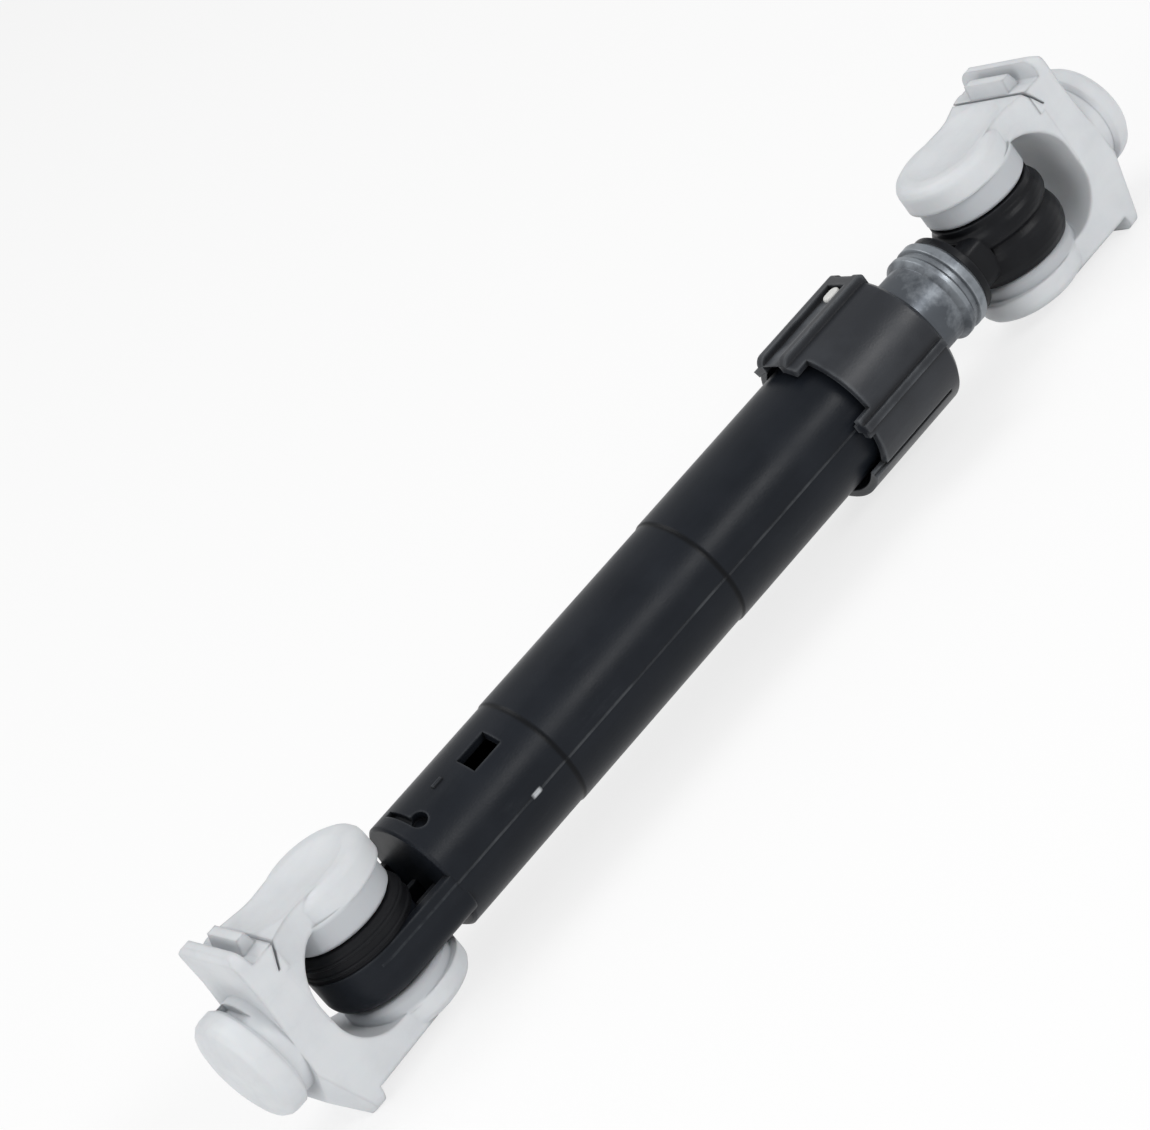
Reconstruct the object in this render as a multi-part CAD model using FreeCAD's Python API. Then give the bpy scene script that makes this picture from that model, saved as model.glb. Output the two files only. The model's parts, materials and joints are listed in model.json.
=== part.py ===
import FreeCAD, Part
import math
import os

from FreeCAD import Vector

# Friction damper for a washing machine tub.
# A steel rod slides in a moulded housing and rubs on a lining in the housing's head.
# Each end has an eye with a rubber bush, and a moulded clip that snaps over the eye and
# slides onto sheet metal with the two grooves behind its round head.
# Millimetres. X runs from the housing's eye to the rod's eye, Z is along the clip pins and up.
# The solids are made round the housing's eye at (0, 0, 0) and then set down on the clips' tails.

# Whole damper, in the nearly closed pose
eye_spacing = 188.0           # from one pin axis to the other
rod_reach = 16.0              # from the rod's outer end to its pin axis
rod_showing = 20.0            # of the rod, outside the housing
rod_outer_end = eye_spacing - rod_reach
head_end = rod_outer_end - rod_showing
housing_clip_turn = 0.0       # degrees that each clip is turned about its pin
rod_clip_turn = 5.0
touch = 0.5                   # how far fused features reach into each other
fine_round = 1.5              # smaller rounds are single bevels
flat_turn = 30.0              # degrees that a larger round turns at each of its flats

# Pins and rubber bushes
pin_radius = 5.0
pin_clearance = 0.06
pin_gap = 0.8                 # between the two pin stubs in a bush
bush_clearance = 0.05         # round a bush in its eye
boss_clearance = 0.3          # between a clip's boss and an eye
eye_top = 6.9                 # faces of both eyes, from the damper's axis
eye_bottom = 7.3

# Housing tube
tube_start = 15.5             # end wall beside the eye
tube_top_radius = 12.75
tube_mid_draft = 0.25         # the lower stretches are slimmer
tube_low_draft = 0.45
tube_mid_radius = tube_top_radius - tube_mid_draft
tube_low_radius = tube_top_radius - tube_low_draft
first_step = 46.0
second_step = 92.0
step_bevel = 0.5
tube_wall = 2.1               # at its slimmest
bore_radius = tube_low_radius - tube_wall
bore_floor = 22.0
seam_width = 0.35             # flash along the mould's parting plane
seam_height = 0.12

# Housing head, which holds the lining and the guide
head_step = 1.15              # how far it stands out from the tube
head_radius = tube_top_radius + head_step
head_wall = 2.0
head_length = 14.5
head_start = head_end - head_length
chamber_radius = head_radius - head_wall
chamber_length = 16.5
chamber_start = head_end - chamber_length

# Housing eye
loop_radius = 12.1
loop_top = 2.0                # the loop's wall stands this far above the axis
loop_round = 3.6              # along its lower edge
bush_seat_radius = 9.4
bush_flange_radius = 11.7
bush_flange_round = 0.9
ring_wall = 1.7               # of the seat, beside the pocket
loop_wall = 2.0
pocket_floor = 2.0
pocket_rib = 1.3
pocket_rib_offset = 3.6
pocket_rib_drop = 3.0         # below the top of the wall

# Window, dash and keyhole vent in the lower tube
window_start = 33.2
window_length = 7.2
window_width = 4.4
window_angle = 62.0           # degrees from the side towards the top
dash_start = 26.6
dash_length = 2.4
dash_width = 0.7
dash_height = 0.35
dash_angle = 72.0
vent_place = 20.2
vent_radius = 1.7
vent_angle = 61.0
vent_slot_width = 1.2
vent_slot_end_angle = 98.0
vent_depth = 2.2

# Head cap
cap_clearance = 0.2           # over the housing's head
cap_wall = 1.5
cap_radius = head_radius + cap_clearance + cap_wall
cap_floor = 3.5               # between the housing's head and the outer face
cap_end = head_end + cap_floor
cap_mouth_clearance = 0.4     # round the rod
cap_round = 1.0
upper_panel_length = 17.8     # each panel's reach over the housing
lower_panel_length = 20.0
foot_length = 23.2
upper_panel_start = head_end - upper_panel_length
lower_panel_start = head_end - lower_panel_length
foot_start = head_end - foot_length
panel_gap_angle = 8.0         # each side of the ridges
upper_panel_end_angle = 64.0
lower_panel_end_angle = -40.0
ridge_width = 1.7
ridge_height = 0.9            # above the cap
ridge_radius = cap_radius + ridge_height
ridge_length = 21.4
ridge_start = head_end - ridge_length
lid_rib_width = 1.9
lid_rib_gap = 5.2
lid_rib_height = 1.0
lid_rib_top = cap_radius + lid_rib_height
lid_rib_length = 21.0
lid_rib_start = head_end - lid_rib_length
lid_bar_length = 2.4
lid_bar_height = 1.3
cap_groove_width = 1.0
cap_groove_depth = 0.7

# Guide bush and friction lining
guide_length = 4.0
guide_clearance = 0.06
lining_clearance = 0.05
lining_slit = 1.2
seat_clearance = 0.1          # round the guide and the lining in the chamber

# Rod
stop_space = 1.3              # between the rod and the tube's bore
rod_radius = bore_radius - stop_space
rod_wall = 1.4
rod_bore_radius = rod_radius - rod_wall
rod_inner_end = 51.0
crimp_height = 1.1            # above the rod
crimp_radius = rod_radius + crimp_height
crimp_length = 6.8
crimp_round = 0.9
crimp_ring_length = 3.0       # beyond the groove
crimp_groove_width = 1.1
crimp_groove_depth = 0.6
stop_groove_start = 3.0       # from the rod's inner end
stop_groove_width = 3.0
stop_groove_depth = 0.6
rod_end_bevel = 0.4

# Stop ring on the rod's inner end
stop_length = 8.0
stop_clearance = 0.06
stop_side_clearance = 0.15
stop_lip_height = 0.9         # inside the rod's bore
stop_lip_radius = rod_bore_radius - stop_lip_height
stop_lip_length = 1.5

# Rod eye
rod_eye_radius = 12.1
rod_eye_face_radius = 10.9
rod_eye_groove_place = 0.5
rod_eye_ledge = 1.4
lobe_steps = 6
rod_bush_radius = 8.4
plug_length = 20.0
plug_clearance = 0.05
neck_flange_height = 0.3      # above the rod
neck_flange_radius = rod_radius + neck_flange_height
neck_flange_length = 1.6
neck_width = 15.0
neck_height = 10.0
neck_round = 2.4
neck_pocket_length = 7.0
neck_pocket_width = 2.6
neck_pocket_depth = 2.6

# Clips, measured from the pin axis with the base towards -X
ear_radius = 11.3
ear_centre = 1.2
near_ear_inner = 12.6
near_ear_thickness = 5.6
far_ear_inner = 10.4
far_ear_thickness = 5.0
ear_round = 2.2
trough_half_width = 7.6       # soft trough along each ear
trough_depth = 1.5
trough_reach = 7.0            # of its inner end, towards the base
boss_radius = 11.0
boss_round = 0.8
waist_half_width = 7.6        # the near strap is narrower between the ear and the base
waist_place = 9.0
waist_round = 8.0
waist_base_round = 6.0
bend_inner = 16.4             # inside of the bend
bend_thickness = 4.2
bend_inner_round = 9.5
bend_outer_round = 3.0
plate_half_width = 10.5
plate_round = 2.5
plate_near_outer = 23.4       # flat seat for the sheet
plate_far_outer = 25.4        # the outer face leans out from the seat to the tail's slope
seat_low = 13.0
plate_edge = 1.0              # bevels on the wing's tip
wing_reach = 21.4
wing_tip_thickness = 2.6
wing_ledge = 18.0
wing_inner = 15.6
barb_half_width = 5.5
barb_top = 21.0
barb_outer = 19.6
barb_inner = 15.8
barb_slope = 1.2
slot_mouth = 15.2             # slot that frees the wing from the strap
slot_mouth_width = 0.9
slot_end = 17.5
slot_end_width = 0.5
slot_floor = 13.6
tail_reach = 18.8
tail_foot = 3.0               # flat end of the tail
tail_slope_start = 12.5
tail_slope_end = 21.5
tail_facet_start = 3.0        # facets along the tail's side edges
tail_facet_outer = 22.2
tail_facet_half_width = 5.2
rail_half = 8.6               # the head slides onto the sheet along a straight rail in each groove
rail_stop = 3.0               # where the grooves end, across the clip
sheet_gap = 1.6               # width of the grooves
clip_head_overhang = 0.9      # beyond the plate's sides
clip_head_radius = plate_half_width + clip_head_overhang
clip_head_ease = 0.8
clip_head_thickness = 5.0
clip_head_round = 2.8
clip_head_crown = 1.5         # of its outer face
clip_head_crown_radius = 6.0
clip_head_crown_round = 10.0
clip_head_lift = 1.1          # of the head's middle above the pin's


def revolve(outline, axis):
    face = Part.Face(Part.Wire(outline))
    return face.revolve(Vector(0, 0, 0), axis, 360)


def polygon(points):
    edges = []
    for here, there in zip(points, points[1:] + points[:1]):
        edges.append(Part.LineSegment(here, there).toShape())
    return edges


def turned_along_x(profile):
    # profile holds (place along X, radius) corners
    corners = [Vector(place, radius, 0) for place, radius in profile]
    return revolve(polygon(corners), Vector(1, 0, 0))


def ring_along_x(start, end, outer, inner):
    return turned_along_x([(start, inner), (start, outer), (end, outer), (end, inner)])


def rod_along_x(start, end, radius):
    return Part.makeCylinder(radius, end - start, Vector(start, 0, 0), Vector(1, 0, 0))


def rod_along_z(low, high, radius):
    return Part.makeCylinder(radius, high - low, Vector(0, 0, low))


def block(x_low, x_high, y_low, y_high, z_low, z_high):
    return Part.makeBox(x_high - x_low, y_high - y_low, z_high - z_low, Vector(x_low, y_low, z_low))


def corner_arc(corners, index):
    # start, middle of the circle and end of the arc that rounds one corner
    point, radius = corners[index]
    back = (corners[index - 1][0] - point).normalize()
    ahead = (corners[(index + 1) % len(corners)][0] - point).normalize()
    half = back.getAngle(ahead) / 2
    setback = radius / math.tan(half)
    centre = point + (back + ahead).normalize() * (radius / math.sin(half))
    return point + back * setback, centre, point + ahead * setback


def rounded_outline(corners):
    # corners holds (point, radius), and a radius of 0 leaves the corner sharp
    edges = []
    ends = []
    for index, (point, radius) in enumerate(corners):
        if radius == 0:
            ends.append((point, point))
            continue
        start, centre, end = corner_arc(corners, index)
        outwards = ((start + end) / 2 - centre).normalize()
        edges.append(Part.Arc(start, centre + outwards * radius, end).toShape())
        ends.append((start, end))
    for here, there in zip(ends, ends[1:] + ends[:1]):
        if here[1].distanceToPoint(there[0]) > 1e-6:
            edges.append(Part.LineSegment(here[1], there[0]).toShape())
    return Part.Wire(Part.__sortEdges__(edges))


def eased_outline(corners):
    # as rounded_outline, with each round made of a few flats
    points = []
    for index, (point, radius) in enumerate(corners):
        if radius == 0:
            points.append(point)
            continue
        start, centre, end = corner_arc(corners, index)
        turn = math.degrees((start - centre).getAngle(end - centre))
        steps = 1 if radius < fine_round else math.ceil(turn / flat_turn)
        for step in range(steps + 1):
            share = step / steps
            outwards = (start - centre) * (1 - share) + (end - centre) * share
            points.append(centre + outwards.normalize() * radius)
    return polygon(points)


def sector(start, end, radius, low_angle, high_angle):
    # wedge about X, with angles measured from -Y towards +Z
    first = math.radians(low_angle)
    last = math.radians(high_angle)
    middle = (first + last) / 2
    rim = [Vector(start, -radius * math.cos(a), radius * math.sin(a)) for a in (first, middle, last)]
    centre = Vector(start, 0, 0)
    edges = [
        Part.LineSegment(centre, rim[0]).toShape(),
        Part.Arc(rim[0], rim[1], rim[2]).toShape(),
        Part.LineSegment(rim[2], centre).toShape(),
    ]
    return Part.Face(Part.Wire(edges)).extrude(Vector(end - start, 0, 0))


def turned_from_side(shape, angle):
    # carries a feature made on the -Y side round to an angle towards +Z
    moved = shape.copy()
    moved.rotate(Vector(0, 0, 0), Vector(1, 0, 0), -angle)
    return moved


def edges_at(shape, test):
    return [edge for edge in shape.Edges if test(edge.CenterOfMass, edge)]


def make_housing_tube():
    return turned_along_x([
        (tube_start, 0),
        (tube_start, tube_low_radius - step_bevel),
        (tube_start + step_bevel, tube_low_radius),
        (first_step, tube_low_radius),
        (first_step + step_bevel, tube_mid_radius),
        (second_step, tube_mid_radius),
        (second_step + step_bevel, tube_top_radius),
        (head_start, tube_top_radius),
        (head_start, head_radius),
        (head_end, head_radius),
        (head_end, chamber_radius),
        (chamber_start, chamber_radius),
        (chamber_start, bore_radius),
        (bore_floor, bore_radius),
        (bore_floor, 0),
    ])


def stadium(radius, reach, low, high):
    # round end about the eye, straight sides towards the tube
    edges = [
        Part.Arc(Vector(0, radius, low), Vector(-radius, 0, low), Vector(0, -radius, low)).toShape(),
        Part.LineSegment(Vector(0, -radius, low), Vector(reach, -radius, low)).toShape(),
        Part.LineSegment(Vector(reach, -radius, low), Vector(reach, radius, low)).toShape(),
        Part.LineSegment(Vector(reach, radius, low), Vector(0, radius, low)).toShape(),
    ]
    return Part.Face(Part.Wire(edges)).extrude(Vector(0, 0, high - low))


def make_housing_eye():
    loop = stadium(loop_radius, tube_start + step_bevel + touch, -eye_bottom, loop_top)
    lower_rim = edges_at(loop, lambda c, e: abs(c.z + eye_bottom) < 1e-6 and c.x < tube_start - touch)
    loop = loop.makeFillet(loop_round, lower_rim)
    seat_radius = bush_seat_radius + ring_wall
    pocket = stadium(loop_radius - loop_wall, tube_start, pocket_floor - eye_bottom, loop_top + touch)
    pocket = pocket.cut(rod_along_z(-2 * eye_bottom, 2 * eye_top, seat_radius))
    for side in (-1, 1):
        middle = side * pocket_rib_offset
        rib = block(0, tube_start + touch, middle - pocket_rib / 2, middle + pocket_rib / 2,
                    -eye_bottom, loop_top - pocket_rib_drop)
        pocket = pocket.cut(rib)
    return loop.cut(pocket)


def make_window():
    cutter = block(window_start, window_start + window_length, -2 * tube_low_radius, -tube_low_radius / 2,
                   -window_width / 2, window_width / 2)
    return turned_from_side(cutter, window_angle)


def make_vent():
    hole = Part.makeCylinder(vent_radius, vent_depth + touch,
                             Vector(vent_place, -tube_low_radius - touch, 0), Vector(0, 1, 0))
    hole = turned_from_side(hole, vent_angle)
    groove_start = vent_place - vent_radius
    groove = sector(groove_start, groove_start + vent_slot_width, tube_low_radius + touch,
                    vent_angle, vent_slot_end_angle)
    core = rod_along_x(0, first_step, tube_low_radius - vent_slot_width)
    return hole.fuse(groove.cut(core))


def make_dash():
    radius = tube_low_radius + dash_height
    dash = block(dash_start, dash_start + dash_length, -radius, touch - tube_low_radius,
                 -dash_width / 2, dash_width / 2)
    return turned_from_side(dash, dash_angle)


def make_seams():
    seams = []
    stretches = [
        (tube_start + step_bevel, first_step, tube_low_radius),
        (first_step + step_bevel, second_step, tube_mid_radius),
        (second_step + step_bevel, ridge_start, tube_top_radius),
    ]
    for start, end, radius in stretches:
        for side in (-1, 1):
            outer = side * (radius + seam_height)
            inner = side * (radius - touch)
            seams.append(block(start, end, min(outer, inner), max(outer, inner),
                               -seam_width / 2, seam_width / 2))
    return seams


def make_housing():
    housing = make_housing_tube().fuse(make_housing_eye())
    housing = housing.fuse(make_seams() + [make_dash()])
    seat = rod_along_z(-2 * eye_bottom, 2 * eye_top, bush_seat_radius)
    return housing.cut([seat, make_window(), make_vent()]).removeSplitter()


def make_cap_shell():
    inner = cap_radius - cap_wall
    mouth = rod_radius + cap_mouth_clearance
    return turned_along_x([
        (foot_start, inner),
        (foot_start, cap_radius),
        (cap_end - cap_round, cap_radius),
        (cap_end, cap_radius - cap_round),
        (cap_end, mouth),
        (head_end, mouth),
        (head_end, inner),
    ])


def make_panel_cuts():
    # the skirt ends at its own place behind each panel
    reach = 2 * cap_radius
    cuts = []
    for mirror in (False, True):
        spans = [
            (upper_panel_start, panel_gap_angle, upper_panel_end_angle),
            (lower_panel_start, lower_panel_end_angle, -panel_gap_angle),
            (lid_rib_start, upper_panel_end_angle, 90.0),
            (ridge_start, -panel_gap_angle, panel_gap_angle),
        ]
        for end, low, high in spans:
            cut = sector(foot_start - touch, end, reach, low, high)
            if mirror:
                cut = cut.mirror(Vector(0, 0, 0), Vector(0, 1, 0))
            cuts.append(cut)
    return cuts


def make_ridge(side):
    inner = side * (tube_top_radius + seat_clearance)
    outer = side * ridge_radius
    ridge = block(ridge_start, cap_end - cap_round, min(inner, outer), max(inner, outer),
                  -ridge_width / 2, ridge_width / 2)
    # clear of the housing's head
    return ridge.cut(rod_along_x(head_start - touch, head_end, cap_radius - cap_wall))


def make_lid_ribs():
    ribs = []
    floor = cap_radius - cap_wall - touch
    for side in (-1, 1):
        near = side * lid_rib_gap / 2
        far = side * (lid_rib_gap / 2 + lid_rib_width)
        low = min(near, far)
        outline = rounded_outline([
            (Vector(lid_rib_start, low, floor), 0),
            (Vector(cap_end, low, floor), 0),
            (Vector(cap_end, low, lid_rib_top), cap_round),
            (Vector(lid_rib_start, low, lid_rib_top), 2 * cap_round),
        ])
        ribs.append(Part.Face(outline).extrude(Vector(0, lid_rib_width, 0)))
    bar = block(cap_end - lid_bar_length - cap_round, cap_end - cap_round,
                -lid_rib_gap / 2 - touch, lid_rib_gap / 2 + touch,
                lid_rib_top - lid_bar_height, lid_rib_top)
    return ribs + [bar]


def make_head_cap():
    cap = make_cap_shell().cut(make_panel_cuts())
    ribs = [rib.cut(rod_along_x(foot_start, head_end, cap_radius - cap_wall)) for rib in make_lid_ribs()]
    cap = cap.fuse([make_ridge(-1), make_ridge(1)] + ribs)
    lid_slot = block(lid_rib_start - touch, cap_end + touch, -lid_rib_gap / 2, lid_rib_gap / 2,
                     head_radius, lid_rib_top - lid_bar_height)
    grooves = []
    for side in (-1, 1):
        radius = cap_radius - cap_groove_depth
        groove = block(foot_start - touch, head_end, -2 * cap_radius, -radius,
                       -cap_groove_width / 2, cap_groove_width / 2)
        groove = turned_from_side(groove, lower_panel_end_angle)
        if side > 0:
            groove = groove.mirror(Vector(0, 0, 0), Vector(0, 1, 0))
        grooves.append(groove)
    return cap.cut([lid_slot] + grooves).removeSplitter()


def make_guide_bush():
    start = head_end - guide_length
    return ring_along_x(start, head_end, chamber_radius - seat_clearance, rod_radius + guide_clearance)


def make_friction_lining():
    outer = chamber_radius - seat_clearance
    strip = ring_along_x(chamber_start, head_end - guide_length, outer, rod_radius + lining_clearance)
    slit = block(chamber_start - touch, head_end, -lining_slit / 2, lining_slit / 2, 0, chamber_radius)
    return strip.cut(slit)


def make_rod_tube():
    groove_low = rod_inner_end + stop_groove_start
    groove_high = groove_low + stop_groove_width
    crimp_start = rod_outer_end - crimp_length
    groove_start = rod_outer_end - crimp_ring_length - crimp_groove_width
    groove_end = rod_outer_end - crimp_ring_length
    groove_radius = crimp_radius - crimp_groove_depth
    return turned_along_x([
        (rod_inner_end, rod_bore_radius),
        (rod_inner_end, rod_radius - rod_end_bevel),
        (rod_inner_end + rod_end_bevel, rod_radius),
        (groove_low, rod_radius),
        (groove_low, rod_radius - stop_groove_depth),
        (groove_high, rod_radius - stop_groove_depth),
        (groove_high, rod_radius),
        (crimp_start, rod_radius),
        (crimp_start + crimp_radius - rod_radius, crimp_radius),
        (groove_start - crimp_groove_depth, crimp_radius),
        (groove_start, groove_radius),
        (groove_end, groove_radius),
        (groove_end + crimp_groove_depth / 2, crimp_radius),
        (rod_outer_end - crimp_round, crimp_radius),
        (rod_outer_end, crimp_radius - crimp_round),
        (rod_outer_end, rod_bore_radius),
    ])


def make_stop_ring():
    start = rod_inner_end - stop_lip_length - stop_side_clearance
    end = start + stop_length
    inner = rod_radius + stop_clearance
    groove_low = rod_inner_end + stop_groove_start
    bead_low = groove_low + stop_side_clearance
    bead_high = groove_low + stop_groove_width - stop_side_clearance
    bead_radius = rod_radius - stop_groove_depth + stop_clearance
    return turned_along_x([
        (start, stop_lip_radius),
        (start, bore_radius - stop_clearance),
        (end, bore_radius - stop_clearance),
        (end, inner),
        (bead_high, inner),
        (bead_high, bead_radius),
        (bead_low, bead_radius),
        (bead_low, inner),
        (start + stop_lip_length, inner),
        (start + stop_lip_length, stop_lip_radius),
    ])


def make_rod_eye_ring():
    # two round lobes with a groove between them, and a ledge beside the upper boss
    high = eye_top
    low = -eye_bottom
    ledge = high - rod_eye_ledge
    groove = rod_eye_groove_place
    face = rod_eye_face_radius

    def at(radius, level):
        return Vector(radius, 0, level)

    def lobe(top, bottom):
        # points on an arc from one level to the other, bulging to the eye's radius
        bulge = rod_eye_radius - face
        half = (top - bottom) / 2
        arc_radius = (half ** 2 + bulge ** 2) / (2 * bulge)
        spread = math.asin(half / arc_radius)
        points = []
        for step in range(lobe_steps + 1):
            angle = spread - 2 * spread * step / lobe_steps
            points.append(at(rod_eye_radius - arc_radius + arc_radius * math.cos(angle),
                             (top + bottom) / 2 + arc_radius * math.sin(angle)))
        return points

    outline = [at(rod_bush_radius, low), at(rod_bush_radius, high), at(face, high)]
    edges = polygon(outline + lobe(ledge, groove) + lobe(groove, low)[1:])
    return revolve(edges, Vector(0, 0, 1))


def make_rod_eye():
    ring = make_rod_eye_ring()
    ring.translate(Vector(eye_spacing, 0, 0))
    neck_end = eye_spacing - rod_bush_radius - touch
    neck = block(rod_outer_end, neck_end, -neck_width / 2, neck_width / 2, -neck_height / 2, neck_height / 2)
    along = edges_at(neck, lambda c, e: abs(c.x - (rod_outer_end + neck_end) / 2) < 1e-6)
    neck = neck.makeFillet(neck_round, along)
    flange = rod_along_x(rod_outer_end, rod_outer_end + neck_flange_length, neck_flange_radius)
    plug = rod_along_x(rod_outer_end - plug_length, rod_outer_end + touch, rod_bore_radius - plug_clearance)
    eye = ring.fuse([neck, flange, plug])
    hole = rod_along_z(-2 * eye_bottom, 2 * eye_top, rod_bush_radius)
    hole.translate(Vector(eye_spacing, 0, 0))
    pockets = []
    pocket_x = rod_outer_end + neck_flange_length + neck_pocket_width / 2
    for side in (-1, 1):
        floor = side * (neck_height / 2 - neck_pocket_depth)
        roof = side * eye_bottom
        pockets.append(block(pocket_x - neck_pocket_width / 2, pocket_x + neck_pocket_width / 2,
                             -neck_pocket_length / 2, neck_pocket_length / 2,
                             min(floor, roof), max(floor, roof)))
    return eye.cut([hole] + pockets).removeSplitter()


def make_housing_bush():
    # a rubber bush with one flange, which lies on the loop's wall
    body_radius = bush_seat_radius - bush_clearance
    bore = pin_radius + pin_clearance

    def at(radius, level):
        return Vector(radius, 0, level)

    corners = [
        (at(bore, -eye_bottom), 0),
        (at(bore, eye_top), 0),
        (at(bush_flange_radius, eye_top), bush_flange_round),
        (at(bush_flange_radius, loop_top), 0),
        (at(body_radius, loop_top), 0),
        (at(body_radius, -eye_bottom), 0),
    ]
    return revolve(eased_outline(corners), Vector(0, 0, 1))


def make_rod_bush():
    bush = rod_along_z(-eye_bottom, eye_top, rod_bush_radius - bush_clearance)
    bore = rod_along_z(-2 * eye_bottom, 2 * eye_top, pin_radius + pin_clearance)
    bush = bush.cut(bore)
    bush.translate(Vector(eye_spacing, 0, 0))
    return bush


def clip_side(points, half_width):
    # prism across the clip from (distance towards the base, height) corners
    corners = [Vector(-x, -half_width, z) for x, z in points]
    return Part.Face(Part.Wire(polygon(corners))).extrude(Vector(0, 2 * half_width, 0))


def make_clip_strap():
    # strap bent round the eye, drawn from the side and then trimmed to its outline from above
    near_outer = near_ear_inner + near_ear_thickness
    far_outer = far_ear_inner + far_ear_thickness
    bend_outer = bend_inner + bend_thickness

    def side(x, z):
        return Vector(x, -plate_half_width, z)

    outer = rounded_outline([
        (side(ear_centre, -far_outer), 0),
        (side(ear_centre, near_outer), 0),
        (side(-bend_outer, near_outer), bend_outer_round),
        (side(-bend_outer, -far_outer), bend_outer_round),
    ])
    inner = rounded_outline([
        (side(2 * ear_radius, -far_ear_inner), 0),
        (side(2 * ear_radius, near_ear_inner), 0),
        (side(-bend_inner, near_ear_inner), bend_inner_round),
        (side(-bend_inner, -far_ear_inner), bend_inner_round),
    ])
    across = Vector(0, 2 * plate_half_width, 0)
    ear_edge = ear_radius - ear_round
    ear_corner = (ear_centre, ear_edge, 0)
    waist_corner = (-waist_place, waist_half_width, waist_round)
    base_corners = [
        (-bend_inner, plate_half_width, waist_base_round),
        (-bend_outer - touch, plate_half_width, 0),
    ]

    def seen_from_above(half, low, high):
        corners = [(Vector(x, -y, low), radius) for x, y, radius in half]
        corners += [(Vector(x, y, low), radius) for x, y, radius in reversed(half)]
        return Part.Face(rounded_outline(corners)).extrude(Vector(0, 0, high - low))

    near_plan = seen_from_above([ear_corner, waist_corner] + base_corners, 0, near_outer)
    far_plan = seen_from_above([ear_corner] + base_corners, -far_outer, 0)
    strap = Part.Face(outer).extrude(across).common(near_plan.fuse(far_plan))
    return strap.cut(Part.Face(inner).extrude(across))


def make_clip_ear(inner, thickness):
    outer = inner + thickness

    def at(radius, level):
        return Vector(radius, 0, level)

    corners = [
        (at(0, inner), 0),
        (at(0, outer), 0),
        (at(ear_radius, outer), ear_round),
        (at(ear_radius, inner), 0),
    ]
    ear = revolve(eased_outline(corners), Vector(0, 0, 1))
    ear.translate(Vector(ear_centre, 0, 0))
    return ear


def make_ear_trough(outer):
    # round-ended trough in an ear's outer face
    bowl = (trough_half_width ** 2 + trough_depth ** 2) / (2 * trough_depth)
    near_end = Vector(-trough_reach, 0, outer - trough_depth + bowl)
    far_end = Vector(ear_centre, 0, outer - trough_depth + bowl)
    trough = Part.makeCylinder(bowl, ear_centre + trough_reach, near_end, Vector(1, 0, 0))
    return trough.fuse([Part.makeSphere(bowl, near_end), Part.makeSphere(bowl, far_end)])


def make_tail_facet(side):
    # cutter for the slanting facet on one side edge of the tail
    edge = side * plate_half_width
    first = Vector(-plate_far_outer, edge, -tail_facet_start)
    second = Vector(-tail_facet_outer, edge, -tail_slope_start)
    third = Vector(-plate_far_outer, side * tail_facet_half_width, -tail_slope_start)
    along = (second - first).normalize()
    outwards = along.cross(third - first).normalize() * side
    across = outwards.cross(along)
    reach = 3 * plate_half_width
    spread = [(-1, -1), (1, -1), (1, 1), (-1, 1)]
    corners = [first + along * (reach * a) + across * (reach * b) for a, b in spread]
    return Part.Face(Part.Wire(polygon(corners))).extrude(outwards * reach)


def make_clip_plate():
    # base plate: a wing with a thin tip on the near side, a sloping tail with a flat foot on the far side
    inner = bend_inner + touch
    slab = clip_side([
        (plate_near_outer, wing_reach - plate_edge),
        (plate_near_outer - plate_edge, wing_reach),
        (plate_near_outer - wing_tip_thickness, wing_reach),
        (plate_near_outer - wing_tip_thickness - plate_edge / 2, wing_ledge),
        (wing_inner, wing_ledge),
        (wing_inner, near_ear_inner),
        (inner, near_ear_inner),
        (inner, -far_ear_inner),
        (tail_slope_end - tail_foot, -tail_reach),
        (tail_slope_end, -tail_reach),
        (plate_far_outer, -tail_slope_start),
        (plate_near_outer, seat_low),
    ], plate_half_width)

    def flat(y, z):
        return Vector(-2 * plate_far_outer, y, z)

    outline = rounded_outline([
        (flat(-plate_half_width, -tail_reach), plate_round),
        (flat(plate_half_width, -tail_reach), plate_round),
        (flat(plate_half_width, wing_reach), plate_round),
        (flat(-plate_half_width, wing_reach), plate_round),
    ])
    plate = slab.common(Part.Face(outline).extrude(Vector(2 * plate_far_outer, 0, 0)))
    return plate.cut([make_tail_facet(-1), make_tail_facet(1)])


def make_clip_barb():
    # ridge on the wing's ledge
    return clip_side([
        (barb_outer, wing_ledge - touch),
        (barb_outer - barb_slope, barb_top),
        (barb_inner + barb_slope / 2, barb_top),
        (barb_inner, wing_ledge - touch),
    ], barb_half_width)


def make_clip_slot():
    top = wing_reach + touch
    rise = (top - slot_floor) / (wing_ledge - slot_floor)
    mouth = slot_end + (slot_mouth - slot_end) * rise
    return clip_side([
        (slot_end + slot_end_width / 2, slot_floor),
        (mouth + slot_mouth_width / 2, top),
        (mouth - slot_mouth_width / 2, top),
        (slot_end - slot_end_width / 2, slot_floor),
    ], 2 * plate_half_width)


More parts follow.
